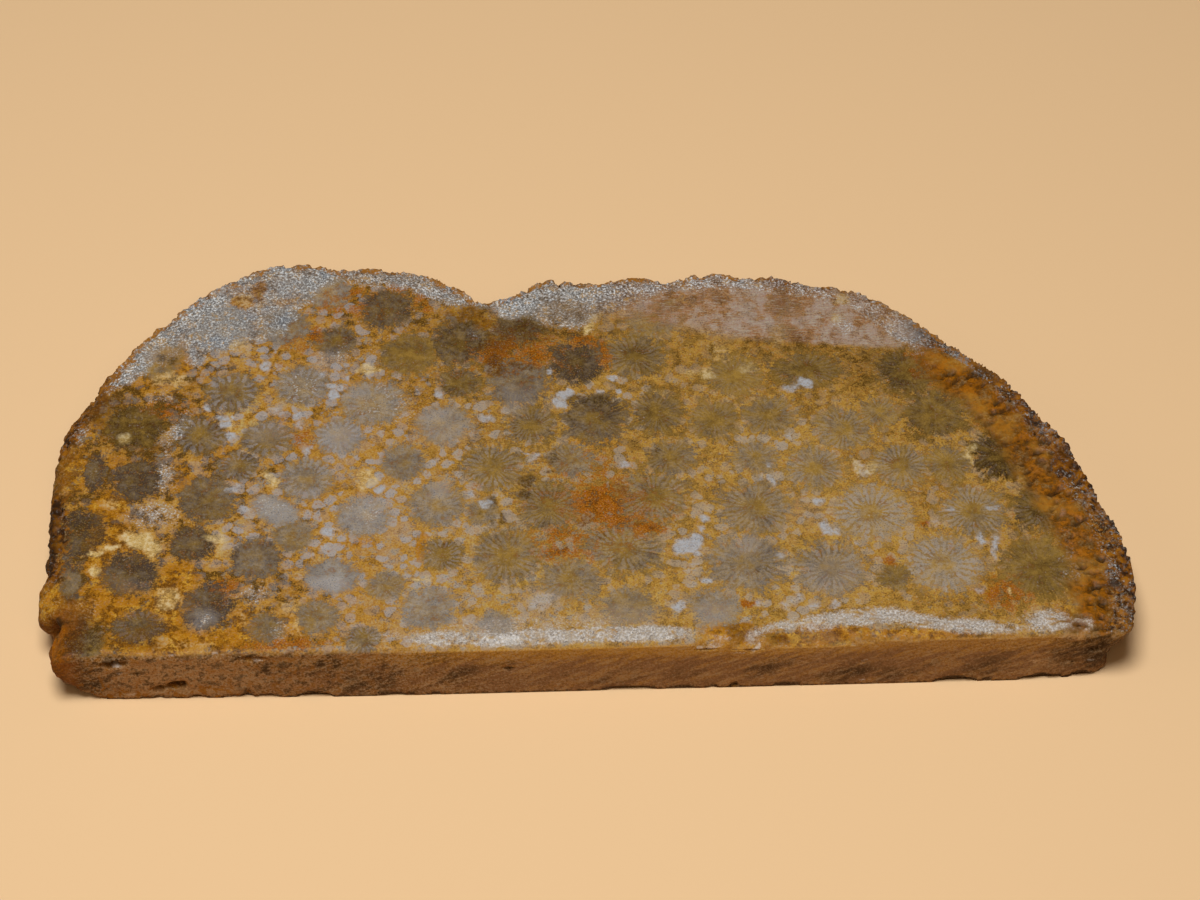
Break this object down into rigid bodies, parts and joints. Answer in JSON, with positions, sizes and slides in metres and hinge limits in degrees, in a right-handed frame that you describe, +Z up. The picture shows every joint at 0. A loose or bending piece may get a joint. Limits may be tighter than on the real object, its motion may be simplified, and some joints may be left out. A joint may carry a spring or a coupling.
{
  "type": "fossil coral slab",
  "caption": "Flat half-oval slab of agatized fossil coral with sawn faces, a straight sawn edge and a rough natural rim.",
  "frame": {"origin": "centre of the bounding box, on the underside that the slab lies on", "axes": "+X along the straight sawn edge, +Y from that edge to the back of the natural rim, +Z up through the thickness"},
  "size_m": [0.1618, 0.0812, 0.01],
  "materials": {
    "fossil_coral": "sawn and polished chalcedony, satin; olive, ochre and grey corallites in an orange-brown matrix, rough brown rind"
  },
  "bodies": {
    "root": {"fossil_coral_slab": "fossil_coral"}
  },
  "joints": []
}
